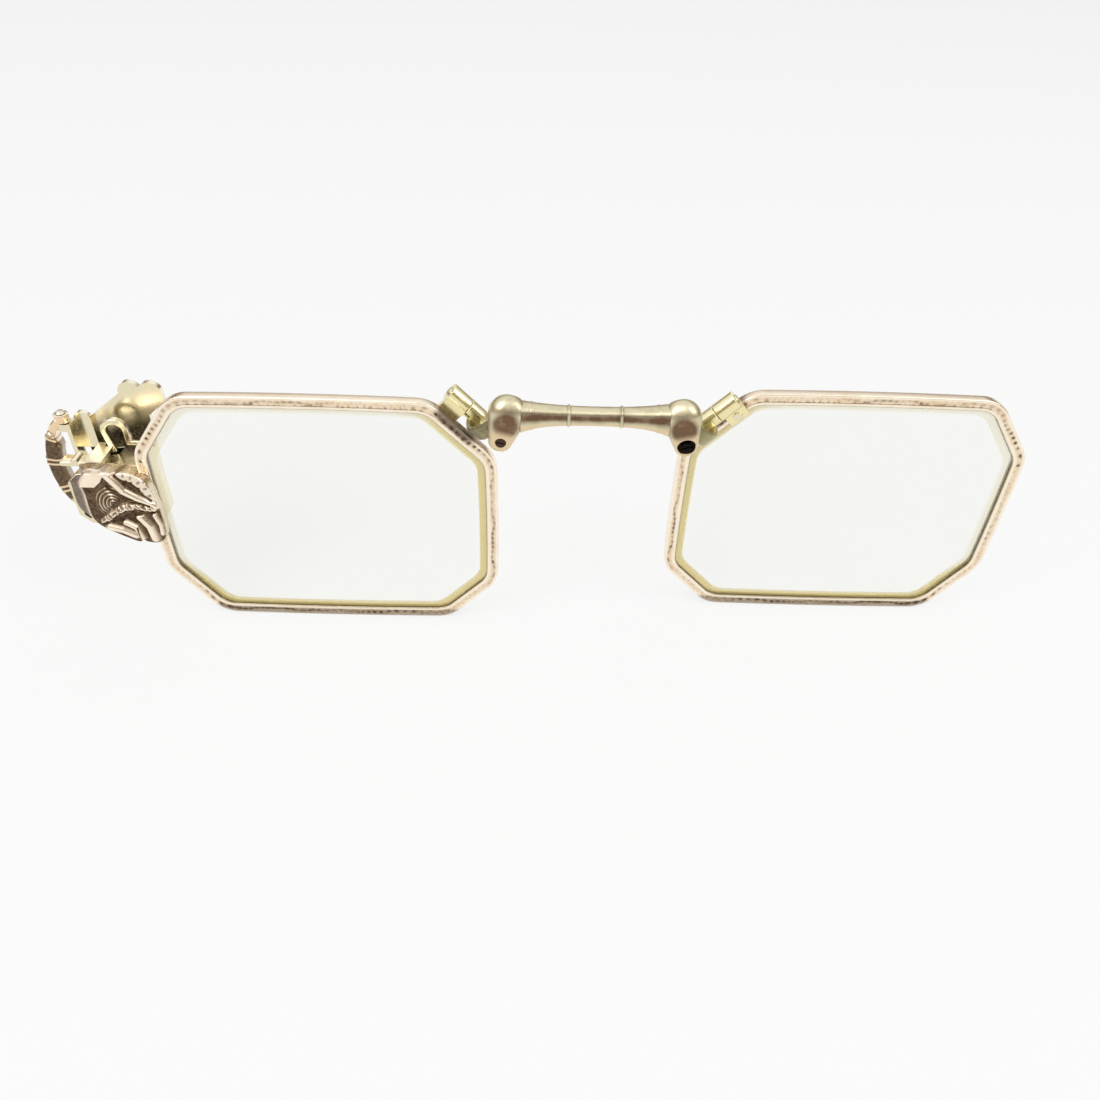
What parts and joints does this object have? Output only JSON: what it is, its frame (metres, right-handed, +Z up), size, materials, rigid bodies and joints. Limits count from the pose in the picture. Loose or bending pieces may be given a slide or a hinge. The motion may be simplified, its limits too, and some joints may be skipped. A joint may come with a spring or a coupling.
{
  "type": "folding spring pince nez",
  "caption": "Folding pince nez with two eight-sided rimmed lenses, a bulbed bridge bar on sprung hinges, and a leaf-scroll handle with a latch and a swinging bail.",
  "frame": {"origin": "under the middle of the open pince nez, at the level of its two lower rims", "axes": "+X along the lenses from the handle to the far lens, +Y from the front to the back, +Z up"},
  "size_m": [0.113, 0.0116, 0.0326],
  "materials": {
    "silver": "worn polished silver",
    "gilt": "pale yellow brass",
    "steel": "plain steel",
    "glass": "clear ground glass"
  },
  "bodies": {
    "left_frame": {"left_rim": "silver", "left_lens": "glass", "left_hinge_leaf": "gilt", "left_hinge_pin": "steel", "left_leaf_screw": "silver", "front_plate": "silver", "handle_box": "silver", "back_plate": "silver", "bail_lugs": "silver", "bail_pins": "steel", "plate_rivets": "silver", "latch_pin": "steel", "latch_spring": "steel"},
    "latch": {"latch_hook": "silver", "thumb_plate": "silver"},
    "bail": {"bail": "silver"},
    "bridge": {"bridge_bar": "silver", "left_bulb": "silver", "right_bulb": "silver", "left_bridge_knuckle": "gilt", "right_bridge_knuckle": "gilt", "left_hinge_spring": "steel", "right_hinge_spring": "steel", "left_bulb_screw": "silver", "right_bulb_screw": "silver"},
    "right_frame": {"right_rim": "silver", "right_lens": "glass", "right_hinge_leaf": "gilt", "right_hinge_pin": "steel", "right_leaf_screw": "silver"}
  },
  "joints": [
    {"name": "bridge_fold", "type": "hinge", "parent": "left_frame", "child": "bridge", "pos_m": [-0.0068, -0.00005, 0.0288], "axis": [-0.7071, 0, 0.7071], "range_deg": [0, 180], "stiffness_Nm_per_rad": 0.0012, "springref_deg": -143.24},
    {"name": "lens_fold", "type": "hinge", "parent": "bridge", "child": "right_frame", "pos_m": [0.0202, -0.00005, 0.0288], "axis": [0.7071, 0, 0.7071], "range_deg": [0, 180], "stiffness_Nm_per_rad": 0.001, "springref_deg": -143.24},
    {"name": "latch_press", "type": "hinge", "parent": "left_frame", "child": "latch", "pos_m": [-0.04645, -0.0019, 0.0139], "axis": [0, -1, 0], "range_deg": [0, 8], "stiffness_Nm_per_rad": 0.0002, "springref_deg": -57.3},
    {"name": "bail_swing", "type": "hinge", "parent": "left_frame", "child": "bail", "pos_m": [-0.05315, 0.0037, 0.0173], "axis": [0, 0, -1], "range_deg": [-15, 60]}
  ]
}
